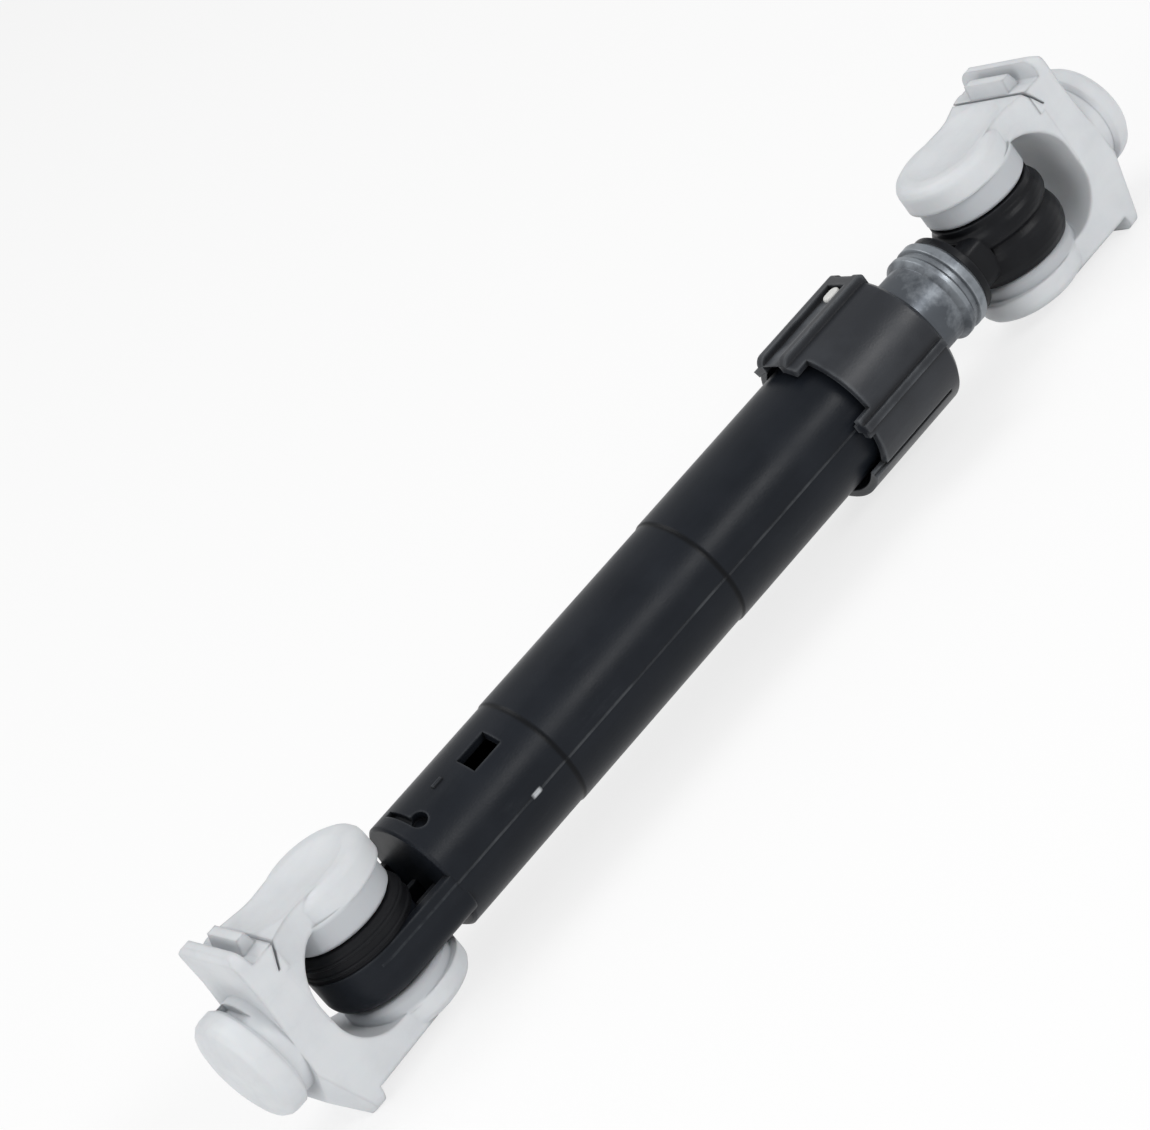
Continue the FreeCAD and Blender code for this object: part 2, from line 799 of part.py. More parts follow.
def make_clip_head():
    # thick head with a rounded edge and a crowned face, and two grooves behind it for the sheet
    start = plate_far_outer + sheet_gap
    end = start + clip_head_thickness

    def at(x, radius):
        return Vector(-x, radius, 0)

    corners = [
        (at(end + clip_head_crown, clip_head_crown_radius), clip_head_crown_round),
        (at(end + clip_head_crown, 0), 0),
        (at(bend_inner + touch, 0), 0),
        (at(bend_inner + touch, plate_half_width), 0),
        (at(start, plate_half_width), 0),
        (at(start, clip_head_radius), clip_head_ease),
        (at(end, clip_head_radius), clip_head_round),
    ]
    head = revolve(eased_outline(corners), Vector(1, 0, 0))
    grooves = []
    for side in (-1, 1):
        low = min(side * rail_half, 2 * side * clip_head_radius)
        high = max(side * rail_half, 2 * side * clip_head_radius)
        grooves.append(block(-start, -plate_far_outer, -2 * clip_head_radius, rail_stop, low, high))
    head = head.cut(grooves)
    head.translate(Vector(0, 0, clip_head_lift))
    return head


def make_clip_boss(eye_face, ear_inner):
    # boss against the eye, with half of the pin
    face = eye_face + boss_clearance

    def at(radius, level):
        return Vector(radius, 0, level)

    corners = [
        (at(0, pin_gap / 2), 0),
        (at(0, ear_inner + touch), 0),
        (at(boss_radius, ear_inner + touch), 0),
        (at(boss_radius, face), boss_round),
        (at(pin_radius, face), 0),
        (at(pin_radius, pin_gap / 2), 0),
    ]
    return revolve(eased_outline(corners), Vector(0, 0, 1))


def make_clip():
    middle = Vector(0, 0, 0)
    up = Vector(0, 0, 1)
    near_ear = make_clip_ear(near_ear_inner, near_ear_thickness)
    far_ear = make_clip_ear(far_ear_inner, far_ear_thickness).mirror(middle, up)
    near_trough = make_ear_trough(near_ear_inner + near_ear_thickness)
    far_trough = make_ear_trough(far_ear_inner + far_ear_thickness).mirror(middle, up)
    yoke = make_clip_strap().fuse([near_ear, far_ear]).cut([near_trough, far_trough])
    near_boss = make_clip_boss(eye_top, near_ear_inner)
    far_boss = make_clip_boss(eye_bottom, far_ear_inner).mirror(middle, up)
    clip = yoke.fuse([near_boss, far_boss, make_clip_plate(), make_clip_barb(), make_clip_head()])
    return clip.cut(make_clip_slot()).removeSplitter()


def make_clips():
    housing_clip = make_clip()
    rod_clip = housing_clip.copy()
    up = Vector(0, 0, 1)
    housing_clip.rotate(Vector(0, 0, 0), up, housing_clip_turn)
    rod_clip.rotate(Vector(0, 0, 0), up, 180 + rod_clip_turn)
    rod_clip.translate(Vector(eye_spacing, 0, 0))
    return housing_clip, rod_clip


def set_down(parts):
    # the origin is on the floor, under the middle of the whole damper
    low, high = [], []
    for shape in parts.values():
        box = shape.optimalBoundingBox(True)
        low.append((box.XMin, box.YMin, box.ZMin))
        high.append((box.XMax, box.YMax, box.ZMax))
    first = [min(column) for column in zip(*low)]
    last = [max(column) for column in zip(*high)]
    shift = Vector(-(first[0] + last[0]) / 2, -(first[1] + last[1]) / 2, -first[2])
    for shape in parts.values():
        shape.translate(shift)
    return shift, [b - a for a, b in zip(first, last)]


def main():
    housing_clip, rod_clip = make_clips()
    parts = {
        "housing": make_housing(),
        "head_cap": make_head_cap(),
        "guide_bush": make_guide_bush(),
        "friction_lining": make_friction_lining(),
        "rod_tube": make_rod_tube(),
        "stop_ring": make_stop_ring(),
        "rod_eye": make_rod_eye(),
        "rod_bush": make_rod_bush(),
        "housing_bush": make_housing_bush(),
        "rod_clip": rod_clip,
        "housing_clip": housing_clip,
    }
    shift, size = set_down(parts)
    os.makedirs("parts", exist_ok=True)
    for name, shape in parts.items():
        solids = len(shape.Solids)
        print(name, "solids", solids, "valid", shape.isValid(), "volume", round(shape.Volume, 1))
        shape.exportStep(os.path.join("parts", name + ".step"))
    print("housing eye axis at", [round(value, 4) for value in shift])
    print("size", [round(value, 3) for value in size])


main()
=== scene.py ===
import json
import math

import bmesh
import bpy
from mathutils import Matrix, Vector


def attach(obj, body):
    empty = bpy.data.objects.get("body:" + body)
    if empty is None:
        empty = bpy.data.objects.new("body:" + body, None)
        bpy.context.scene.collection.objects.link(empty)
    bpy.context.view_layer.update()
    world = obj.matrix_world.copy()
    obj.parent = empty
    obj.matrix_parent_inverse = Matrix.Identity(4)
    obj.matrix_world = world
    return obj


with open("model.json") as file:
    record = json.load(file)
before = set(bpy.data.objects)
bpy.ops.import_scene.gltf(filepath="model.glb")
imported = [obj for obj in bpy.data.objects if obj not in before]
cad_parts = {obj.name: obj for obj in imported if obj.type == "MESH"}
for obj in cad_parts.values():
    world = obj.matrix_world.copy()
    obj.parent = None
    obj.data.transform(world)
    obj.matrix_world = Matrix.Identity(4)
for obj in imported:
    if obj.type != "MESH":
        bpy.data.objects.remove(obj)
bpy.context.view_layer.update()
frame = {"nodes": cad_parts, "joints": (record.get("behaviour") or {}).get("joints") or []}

nodes = frame["nodes"]
joints = {joint["name"]: joint for joint in frame["joints"]}
housingEye = Vector(joints["housing_clip_pivot"]["pos_m"])
rodEye = Vector(joints["rod_clip_pivot"]["pos_m"])
print("frame loaded with", len(nodes), "nodes")


def newTree(name):
    material = bpy.data.materials.new(name)
    material.use_nodes = True
    tree = material.node_tree
    tree.nodes.clear()
    return material, tree


def addNode(tree, kind, **settings):
    node = tree.nodes.new(kind)
    for key, value in settings.items():
        setattr(node, key, value)
    return node


def feed(tree, socket, value):
    # an output is linked, and a plain number, colour or place is set on the socket itself
    if isinstance(value, bpy.types.NodeSocket):
        tree.links.new(value, socket)
    else:
        socket.default_value = value


def surfacePlace(tree):
    return addNode(tree, "ShaderNodeTexCoord").outputs["Object"]


def splitPlace(tree, place):
    split = addNode(tree, "ShaderNodeSeparateXYZ")
    tree.links.new(place, split.inputs["Vector"])
    return split.outputs


def stretched(tree, place, scale, turn=(0.0, 0.0, 0.0)):
    mapping = addNode(tree, "ShaderNodeMapping")
    for name, value in (("Vector", place), ("Rotation", turn), ("Scale", scale)):
        feed(tree, mapping.inputs[name], value)
    return mapping.outputs["Vector"]


def noiseNode(tree, place, detail, scale=1.0, roughness=0.55):
    noise = addNode(tree, "ShaderNodeTexNoise")
    for name, value in (("Vector", place), ("Scale", scale), ("Detail", detail), ("Roughness", roughness)):
        feed(tree, noise.inputs[name], value)
    return noise.outputs["Fac"]


def rangeNode(tree, value, low, high, toLow=0.0, toHigh=1.0):
    spread = addNode(tree, "ShaderNodeMapRange")
    names = ("Value", "From Min", "From Max", "To Min", "To Max")
    for name, amount in zip(names, (value, low, high, toLow, toHigh)):
        feed(tree, spread.inputs[name], amount)
    return spread.outputs["Result"]


def mathNode(tree, operation, first, second=0.0, clamp=False):
    node = addNode(tree, "ShaderNodeMath", operation=operation, use_clamp=clamp)
    feed(tree, node.inputs[0], first)
    feed(tree, node.inputs[1], second)
    return node.outputs["Value"]


def product(tree, first, *others):
    for other in others:
        first = mathNode(tree, "MULTIPLY", first, other)
    return first


def least(tree, first, *others):
    for other in others:
        first = mathNode(tree, "MINIMUM", first, other)
    return first


def distanceTo(tree, coordinate, place):
    return mathNode(tree, "ABSOLUTE", mathNode(tree, "SUBTRACT", coordinate, place))


def lineMask(tree, distance, half, coreShare, amount=1.0):
    # full in the line's core, fading out to its half width
    return rangeNode(tree, distance, half, half * coreShare, 0.0, amount)


def vectorNode(tree, operation, first, second=(0.0, 0.0, 0.0)):
    node = addNode(tree, "ShaderNodeVectorMath", operation=operation)
    feed(tree, node.inputs[0], first)
    feed(tree, node.inputs[1], second)
    return node.outputs


def mixColour(tree, factor, first, second):
    mix = addNode(tree, "ShaderNodeMix", data_type="RGBA")
    for name, value in (("Factor", factor), ("A", first), ("B", second)):
        feed(tree, mix.inputs[name], value)
    return mix.outputs["Result"]


def newGroup(name, inputs, outputs):
    # a shared finish: its inputs with their usual values, its outputs with their kinds
    group = bpy.data.node_groups.new(name, "ShaderNodeTree")
    for title, value in inputs.items():
        kind = "NodeSocketColor" if isinstance(value, tuple) else "NodeSocketFloat"
        socket = group.interface.new_socket(name=title, in_out="INPUT", socket_type=kind)
        socket.default_value = value
    for title, kind in outputs.items():
        group.interface.new_socket(name=title, in_out="OUTPUT", socket_type=kind)
    given = addNode(group, "NodeGroupInput").outputs
    result = addNode(group, "NodeGroupOutput").inputs
    return group, given, result


# moulded plastic: cloudy colour, faint flow lines along the part and a fine grain
grainSet = {
    "inputs": {"Base": (0.1, 0.1, 0.1, 1.0), "Cloud": (0.15, 0.15, 0.15, 1.0), "Cloud Amount": 0.5,
               "Cloud Scale": 60.0, "Flow Amount": 0.3, "Grain Scale": 2500.0, "Rough Low": 0.35,
               "Rough High": 0.5},
    "outputs": {"Colour": "NodeSocketColor", "Roughness": "NodeSocketFloat", "Height": "NodeSocketFloat"},
    "cloudDetail": 5.0,
    "cloudBand": (0.42, 0.7),
    "roughBand": (0.35, 0.68),
    "flowStretch": (12.0, 220.0, 220.0),
    "flowDetail": 3.0,
    "flowBand": (0.45, 0.75),
    "flowHeight": 0.6,
    "grainDetail": 2.0,
}


def buildMouldGrain(look):
    group, given, result = newGroup("mouldGrain", look["inputs"], look["outputs"])
    place = surfacePlace(group)
    cloud = noiseNode(group, place, look["cloudDetail"], given["Cloud Scale"])
    flow = noiseNode(group, stretched(group, place, look["flowStretch"]), look["flowDetail"])
    grain = noiseNode(group, place, look["grainDetail"], given["Grain Scale"])
    cloudMask = product(group, rangeNode(group, cloud, *look["cloudBand"]), given["Cloud Amount"])
    flowMask = product(group, rangeNode(group, flow, *look["flowBand"]), given["Flow Amount"])
    mask = mathNode(group, "ADD", cloudMask, flowMask, True)
    made = {
        "Colour": mixColour(group, mask, given["Base"], given["Cloud"]),
        "Roughness": rangeNode(group, cloud, *look["roughBand"], given["Rough Low"], given["Rough High"]),
        "Height": mathNode(group, "ADD", grain, product(group, flow, look["flowHeight"])),
    }
    for title, value in made.items():
        group.links.new(value, result[title])
    return group


# handling marks: sparse short scuffs and specks, as a mask
marksSet = {
    "inputs": {"Scale": 300.0, "Amount": 0.3},
    "outputs": {"Mask": "NodeSocketFloat"},
    "turn": (0.3, 0.7, 0.5),
    "stretch": (0.25, 1.0, 1.0),
    "scuffDetail": 6.0,
    "scuffRoughness": 0.7,
    "scuffBand": (0.56, 0.72),
    "patchScale": 45.0,
    "patchDetail": 2.0,
    "patchBand": (0.45, 0.62),
}


def buildHandling(look):
    group, given, result = newGroup("handlingMarks", look["inputs"], look["outputs"])
    place = surfacePlace(group)
    turned = stretched(group, place, look["stretch"], look["turn"])
    scuff = noiseNode(group, turned, look["scuffDetail"], given["Scale"], look["scuffRoughness"])
    scuff = rangeNode(group, scuff, *look["scuffBand"])
    patch = noiseNode(group, place, look["patchDetail"], look["patchScale"])
    patch = rangeNode(group, patch, *look["patchBand"])
    group.links.new(product(group, scuff, patch, given["Amount"]), result["Mask"])
    return group


# outer edges lighter in patches, as a mask: partly rubbed wear, partly painted highlight
wearAndHighlightSet = {
    "inputs": {"Width": 0.0005, "Amount": 0.5},
    "outputs": {"Mask": "NodeSocketFloat"},
    "samples": 6,
    "edgeBand": (0.85, 0.5),
    "patchScale": 180.0,
    "patchDetail": 3.0,
    "patchBand": (0.35, 0.6),
    "patchLeast": 0.25,
}


def buildEdgeWearAndHighlight(look):
    group, given, result = newGroup("edgeWearAndHighlight", look["inputs"], look["outputs"])
    settings = {"inside": True, "only_local": True, "samples": look["samples"]}
    inside = addNode(group, "ShaderNodeAmbientOcclusion", **settings)
    group.links.new(given["Width"], inside.inputs["Distance"])
    edge = rangeNode(group, inside.outputs["AO"], *look["edgeBand"])
    patch = noiseNode(group, surfacePlace(group), look["patchDetail"], look["patchScale"])
    patch = rangeNode(group, patch, *look["patchBand"], look["patchLeast"])
    group.links.new(product(group, edge, patch, given["Amount"]), result["Mask"])
    return group


# painted shade in hollows and inner corners, from ambient occlusion, as a mask
hollowSet = {
    "inputs": {"Reach": 0.002, "Amount": 0.5},
    "outputs": {"Mask": "NodeSocketFloat"},
    "samples": 6,
    "band": (0.95, 0.45),
}


def buildHollowShade(look):
    group, given, result = newGroup("hollowShade", look["inputs"], look["outputs"])
    around = addNode(group, "ShaderNodeAmbientOcclusion", only_local=True, samples=look["samples"])
    group.links.new(given["Reach"], around.inputs["Distance"])
    hollow = rangeNode(group, around.outputs["AO"], *look["band"])
    group.links.new(product(group, hollow, given["Amount"]), result["Mask"])
    return group


mouldGrain = buildMouldGrain(grainSet)
handlingMarks = buildHandling(marksSet)
edgeWearAndHighlight = buildEdgeWearAndHighlight(wearAndHighlightSet)
hollowShade = buildHollowShade(hollowSet)
print("shared finishes made")

surfaceSet = {"edgeSamples": 6, "scuffRough": 0.15, "hollowRoughness": 0.4}


def placeGroup(tree, group, values):
    node = addNode(tree, "ShaderNodeGroup", node_tree=group)
    for name, value in values.items():
        node.inputs[name].default_value = value
    return node.outputs


def finishSurface(tree, bumpHeight, look):
    # the shader, its softened edges, its bump and its plain values
    shader = addNode(tree, "ShaderNodeBsdfPrincipled")
    out = addNode(tree, "ShaderNodeOutputMaterial")
    tree.links.new(shader.outputs["BSDF"], out.inputs["Surface"])
    soft = addNode(tree, "ShaderNodeBevel", samples=surfaceSet["edgeSamples"])
    soft.inputs["Radius"].default_value = look["edgeRound"]
    bump = addNode(tree, "ShaderNodeBump")
    bump.inputs["Strength"].default_value = look["bump"]
    bump.inputs["Distance"].default_value = look["bumpDepth"]
    tree.links.new(bumpHeight, bump.inputs["Height"])
    tree.links.new(soft.outputs["Normal"], bump.inputs["Normal"])
    tree.links.new(bump.outputs["Normal"], shader.inputs["Normal"])
    for name, value in look["plain"].items():
        shader.inputs[name].default_value = value
    return shader


def seamMask(tree, look):
    # flash along the mould's parting plane, broken in places, with one bright nick on the front side
    place = surfacePlace(tree)
    split = splitPlace(tree, place)
    core = look["coreShare"]
    across = distanceTo(tree, split["Z"], housingEye.z)
    side = mathNode(tree, "GREATER_THAN", mathNode(tree, "ABSOLUTE", split["Y"]), look["side"])
    front = mathNode(tree, "LESS_THAN", split["Y"], -look["side"])
    broken = noiseNode(tree, place, look["breakDetail"], look["breakScale"])
    broken = rangeNode(tree, broken, *look["breakBand"], look["breakLeast"])
    line = product(tree, lineMask(tree, across, look["width"], core), broken, side, look["amount"])
    fromNick = distanceTo(tree, split["X"], housingEye.x + look["nickPlace"])
    nickAlong = lineMask(tree, fromNick, look["nickHalf"], core)
    nickAcross = lineMask(tree, across, look["nickWidth"], core)
    return line, product(tree, nickAlong, nickAcross, front)


def stepShadeMask(tree, look):
    # painted shade in the corner of each step of the tube
    split = splitPlace(tree, surfacePlace(tree))
    gaps = [distanceTo(tree, split["X"], housingEye.x + step) for step in look["places"]]
    return lineMask(tree, least(tree, *gaps), look["half"], look["coreShare"], look["amount"])


def bossMask(tree, look):
    # painted shade on the bosses between a clip's ears, round either pin axis
    place = surfacePlace(tree)
    gaps = []
    for eye in (housingEye, rodEye):
        away = vectorNode(tree, "SUBTRACT", place, eye)["Vector"]
        level = vectorNode(tree, "MULTIPLY", away, (1.0, 1.0, 0.0))["Vector"]
        gaps.append(vectorNode(tree, "LENGTH", level)["Value"])
    inReach = mathNode(tree, "LESS_THAN", least(tree, *gaps), look["radius"])
    height = mathNode(tree, "SUBTRACT", splitPlace(tree, place)["Z"], housingEye.z)
    underTop = rangeNode(tree, height, look["above"] + look["blur"], look["above"] - look["blur"])
    overFoot = rangeNode(tree, height, -look["below"] - look["blur"], -look["below"] + look["blur"])
    return product(tree, inReach, underTop, overFoot, look["amount"])


def makeMoulded(name, look):
    material, tree = newTree(name)
    grain = placeGroup(tree, mouldGrain, look["grain"])
    marks = placeGroup(tree, handlingMarks, look["marks"])
    wearAndHighlight = placeGroup(tree, edgeWearAndHighlight, look["wearAndHighlight"])
    hollow = placeGroup(tree, hollowShade, look["hollow"])
    shader = finishSurface(tree, grain["Height"], look)
    colour = mixColour(tree, marks["Mask"], grain["Colour"], look["scuff"])
    # rubbed wear and painted highlight: outer edges lighter in patches
    colour = mixColour(tree, wearAndHighlight["Mask"], colour, look["rubbedAndHighlight"])
    # painted shade: hollows and inner corners darkened to the shade colour
    colour = mixColour(tree, hollow["Mask"], colour, look["shade"])
    if "seam" in look:
        line, nick = seamMask(tree, look["seam"])
        colour = mixColour(tree, line, colour, look["rubbedAndHighlight"])
        colour = mixColour(tree, nick, colour, look["seam"]["nickColour"])
    if "steps" in look:
        # painted shade: a dark line at each step of the tube
        colour = mixColour(tree, stepShadeMask(tree, look["steps"]), colour, look["shade"])
    if "boss" in look:
        # painted shade: the white bosses under the ears darkened to grey
        colour = mixColour(tree, bossMask(tree, look["boss"]), colour, look["boss"]["colour"])
    tree.links.new(colour, shader.inputs["Base Color"])
    scuffed = product(tree, marks["Mask"], surfaceSet["scuffRough"])
    hollowRough = product(tree, hollow["Mask"], surfaceSet["hollowRoughness"])
    rough = mathNode(tree, "ADD", grain["Roughness"], mathNode(tree, "ADD", scuffed, hollowRough))
    tree.links.new(rough, shader.inputs["Roughness"])
    return material


housingLook = {
    "grain": {"Base": (0.0094, 0.0115, 0.0155, 1.0), "Cloud": (0.0155, 0.0182, 0.0238, 1.0),
              "Cloud Amount": 0.5, "Cloud Scale": 70.0, "Flow Amount": 0.35, "Grain Scale": 2600.0,
              "Rough Low": 0.3, "Rough High": 0.41},
    "marks": {"Scale": 260.0, "Amount": 0.25},
    "scuff": (0.045, 0.05, 0.057, 1.0),
    "wearAndHighlight": {"Width": 0.0006, "Amount": 0.45},
    "rubbedAndHighlight": (0.085, 0.092, 0.10, 1.0),
    "hollow": {"Reach": 0.0012, "Amount": 0.85},
    "shade": (0.002, 0.0022, 0.0026, 1.0),
    "seam": {"side": 0.0115, "width": 0.00035, "amount": 0.5, "coreShare": 0.5,
             "breakScale": 140.0, "breakDetail": 4.0, "breakBand": (0.42, 0.6), "breakLeast": 0.15,
             "nickPlace": 0.0378, "nickHalf": 0.0013, "nickWidth": 0.0006,
             "nickColour": (0.5, 0.52, 0.54, 1.0)},
    "steps": {"places": (0.046, 0.092), "half": 0.0007, "coreShare": 1 / 3, "amount": 0.75},
    "edgeRound": 0.0005,
    "bump": 0.25,
    "bumpDepth": 0.0001,
    "plain": {"IOR": 1.5, "Specular IOR Level": 0.11},
}
# painted light: the cap is a lighter copy of the housing's charcoal nylon, standing in for the light on its
# panels
capLook = {
    "grain": {"Base": (0.0165, 0.0185, 0.0230, 1.0), "Cloud": (0.030, 0.0335, 0.040, 1.0),
              "Cloud Amount": 0.6, "Cloud Scale": 90.0, "Flow Amount": 0.3, "Grain Scale": 2600.0,
              "Rough Low": 0.32, "Rough High": 0.44},
    "marks": {"Scale": 260.0, "Amount": 0.25},
    "scuff": (0.055, 0.06, 0.067, 1.0),
    "wearAndHighlight": {"Width": 0.0011, "Amount": 0.8},
    "rubbedAndHighlight": (0.10, 0.108, 0.118, 1.0),
    "hollow": {"Reach": 0.0016, "Amount": 0.9},
    "shade": (0.002, 0.0022, 0.0026, 1.0),
    "edgeRound": 0.0005,
    "bump": 0.25,
    "bumpDepth": 0.0001,
    "plain": {"IOR": 1.5, "Specular IOR Level": 0.27},
}
eyeLook = {
    "grain": {"Base": (0.0072, 0.0077, 0.0094, 1.0), "Cloud": (0.0125, 0.0134, 0.0156, 1.0),
              "Cloud Amount": 0.5, "Cloud Scale": 160.0, "Flow Amount": 0.2, "Grain Scale": 2600.0,
              "Rough Low": 0.3, "Rough High": 0.42},
    "marks": {"Scale": 420.0, "Amount": 0.4},
    "scuff": (0.07, 0.075, 0.08, 1.0),
    "wearAndHighlight": {"Width": 0.0005, "Amount": 0.4},
    "rubbedAndHighlight": (0.06, 0.064, 0.07, 1.0),
    "hollow": {"Reach": 0.0016, "Amount": 0.85},
    "shade": (0.0015, 0.0016, 0.002, 1.0),
    "edgeRound": 0.0005,
    "bump": 0.25,
    "bumpDepth": 0.0001,
    "plain": {"IOR": 1.5, "Specular IOR Level": 0.13},
}
rubberLook = {
    "grain": {"Base": (0.0062, 0.0066, 0.0080, 1.0), "Cloud": (0.0110, 0.0117, 0.0135, 1.0),
              "Cloud Amount": 0.6, "Cloud Scale": 220.0, "Flow Amount": 0.0, "Grain Scale": 3200.0,
              "Rough Low": 0.5, "Rough High": 0.68},
    "marks": {"Scale": 500.0, "Amount": 0.3},
    "scuff": (0.045, 0.047, 0.05, 1.0),
    "wearAndHighlight": {"Width": 0.0005, "Amount": 0.25},
    "rubbedAndHighlight": (0.045, 0.048, 0.052, 1.0),
    "hollow": {"Reach": 0.0012, "Amount": 0.8},
    "shade": (0.0015, 0.0016, 0.002, 1.0),
    "edgeRound": 0.0005,
    "bump": 0.35,
    "bumpDepth": 0.0001,
    "plain": {"IOR": 1.52, "Specular IOR Level": 0.14},
}
clipLook = {
    "grain": {"Base": (0.66, 0.68, 0.70, 1.0), "Cloud": (0.60, 0.62, 0.645, 1.0),
              "Cloud Amount": 0.7, "Cloud Scale": 130.0, "Flow Amount": 0.25, "Grain Scale": 2200.0,
              "Rough Low": 0.44, "Rough High": 0.58},
    "marks": {"Scale": 320.0, "Amount": 0.25},
    "scuff": (0.5, 0.515, 0.53, 1.0),
    "wearAndHighlight": {"Width": 0.0007, "Amount": 0.35},
    "rubbedAndHighlight": (0.72, 0.74, 0.76, 1.0),
    "hollow": {"Reach": 0.005, "Amount": 0.4},
    "shade": (0.36, 0.375, 0.395, 1.0),
    # painted shade on the bosses under the ears
    "boss": {"radius": 0.0113, "above": 0.0125, "below": 0.0104, "blur": 0.0004, "amount": 0.9,
             "colour": (0.45, 0.47, 0.495, 1.0)},
    "edgeRound": 0.0011,
    "bump": 0.2,
    "bumpDepth": 0.0001,
    "plain": {"IOR": 1.53, "Specular IOR Level": 0.3, "Subsurface Weight": 0.06, "Subsurface Scale": 0.0012},
}
innerLook = {
    "grain": {"Base": (0.70, 0.70, 0.68, 1.0), "Cloud": (0.64, 0.64, 0.62, 1.0),
              "Cloud Amount": 0.5, "Cloud Scale": 150.0, "Flow Amount": 0.1, "Grain Scale": 2400.0,
              "Rough Low": 0.4, "Rough High": 0.5},
    "marks": {"Scale": 300.0, "Amount": 0.2},
    "scuff": (0.5, 0.5, 0.48, 1.0),
    "wearAndHighlight": {"Width": 0.0004, "Amount": 0.3},
    "rubbedAndHighlight": (0.58, 0.58, 0.56, 1.0),
    "hollow": {"Reach": 0.002, "Amount": 0.4},
    "shade": (0.4, 0.4, 0.38, 1.0),
    "edgeRound": 0.0003,
    "bump": 0.2,
    "bumpDepth": 0.0001,
    "plain": {"IOR": 1.48, "Specular IOR Level": 0.5},
}
liningLook = {
    "grain": {"Base": (0.33, 0.29, 0.18, 1.0), "Cloud": (0.24, 0.21, 0.12, 1.0),
              "Cloud Amount": 0.9, "Cloud Scale": 500.0, "Flow Amount": 0.0, "Grain Scale": 900.0,
              "Rough Low": 0.75, "Rough High": 0.9},
    "marks": {"Scale": 600.0, "Amount": 0.5},
    "scuff": (0.14, 0.12, 0.07, 1.0),
    "wearAndHighlight": {"Width": 0.0006, "Amount": 0.5},
    "rubbedAndHighlight": (0.2, 0.17, 0.1, 1.0),
    "hollow": {"Reach": 0.002, "Amount": 0.4},
    "shade": (0.12, 0.1, 0.06, 1.0),
    "edgeRound": 0.0003,
    "bump": 0.8,
    "bumpDepth": 0.0003,
    "plain": {"Specular IOR Level": 0.3, "Sheen Weight": 0.2},
}

steelLook = {
    "bright": (0.26, 0.282, 0.305, 1.0),
    "dull": (0.16, 0.175, 0.194, 1.0),
    "paintedReflection": (0.058, 0.065, 0.076, 1.0),
    "drawnStretch": (60.0, 700.0, 700.0),
    "drawnDetail": 3.0,
    "cloudScale": 120.0,
    "cloudDetail": 4.0,
    "dullBand": (0.4, 0.75),
    "dullMost": 0.7,
    "marks": {"Scale": 240.0, "Amount": 0.7},
    "wearAndHighlight": {"Width": 0.0006, "Amount": 0.7},
    "rubbedAndHighlight": (0.56, 0.59, 0.62, 1.0),
    "hollow": {"Reach": 0.0016, "Amount": 0.95},
    "shade": (0.03, 0.033, 0.038, 1.0),
    "roughBand": (0.35, 0.7),
    "roughLow": 0.34,
    "roughHigh": 0.56,
    "capReflection": {"low": 0.120, "near": 0.150, "far": 0.158, "high": 0.169, "rest": -0.06, "most": 0.28},
    "blotch": {"scale": 150.0, "detail": 5.0, "roughness": 0.6, "band": (0.46, 0.66), "most": 0.85},
    "edgeRound": 0.0003,
    "bump": 0.15,
    "bumpDepth": 0.00008,
    "plain": {"Metallic": 0.75, "Specular IOR Level": 0.25},
}


def capReflectionMask(tree, place, capReflection, blotch):
    # painted reflection of the dark cap, in dark blotches, thickest next to the cap
    along = mathNode(tree, "SUBTRACT", splitPlace(tree, place)["X"], housingEye.x)
    rising = rangeNode(tree, along, capReflection["low"], capReflection["near"], capReflection["rest"], capReflection["most"])
    falling = rangeNode(tree, along, capReflection["far"], capReflection["high"], capReflection["most"], 0.0)
    streak = noiseNode(tree, place, blotch["detail"], blotch["scale"], blotch["roughness"])
    streak = mathNode(tree, "ADD", streak, least(tree, rising, falling))
    return rangeNode(tree, streak, *blotch["band"], 0.0, blotch["most"])


def makeSteel(look):
    # zinc plate: cloudy brightness, fine lines from drawing the tube, and a painted dark reflection of the
    # cap in blotches
    material, tree = newTree("zincSteel")
    place = surfacePlace(tree)
    drawn = noiseNode(tree, stretched(tree, place, look["drawnStretch"]), look["drawnDetail"])
    cloud = noiseNode(tree, place, look["cloudDetail"], look["cloudScale"])
    marks = placeGroup(tree, handlingMarks, look["marks"])
    wearAndHighlight = placeGroup(tree, edgeWearAndHighlight, look["wearAndHighlight"])
    hollow = placeGroup(tree, hollowShade, look["hollow"])
    shader = finishSurface(tree, drawn, look)
    clouded = rangeNode(tree, cloud, *look["dullBand"], 0.0, look["dullMost"])
    dulled = mathNode(tree, "ADD", clouded, marks["Mask"], True)
    colour = mixColour(tree, dulled, look["bright"], look["dull"])
    # painted reflection: dark blotches for the cap mirrored in the rod
    colour = mixColour(tree, capReflectionMask(tree, place, look["capReflection"], look["blotch"]), colour, look["paintedReflection"])
    # rubbed wear and painted highlight: the crimp's edges lighter in patches
    colour = mixColour(tree, wearAndHighlight["Mask"], colour, look["rubbedAndHighlight"])
    # painted shade: hollows and the crimp grooves darkened to the shade colour
    colour = mixColour(tree, hollow["Mask"], colour, look["shade"])
    tree.links.new(colour, shader.inputs["Base Color"])
    rough = rangeNode(tree, cloud, *look["roughBand"], look["roughLow"], look["roughHigh"])
    tree.links.new(rough, shader.inputs["Roughness"])
    return material


charcoalNylon = makeMoulded("charcoalNylon", housingLook)
capNylon = makeMoulded("capNylon", capLook)
eyeNylon = makeMoulded("eyeNylon", eyeLook)
bushRubber = makeMoulded("bushRubber", rubberLook)
clipNylon = makeMoulded("clipNylon", clipLook)
guideAcetal = makeMoulded("guideAcetal", innerLook)
liningFoam = makeMoulded("liningFoam", liningLook)
zincSteel = makeSteel(steelLook)

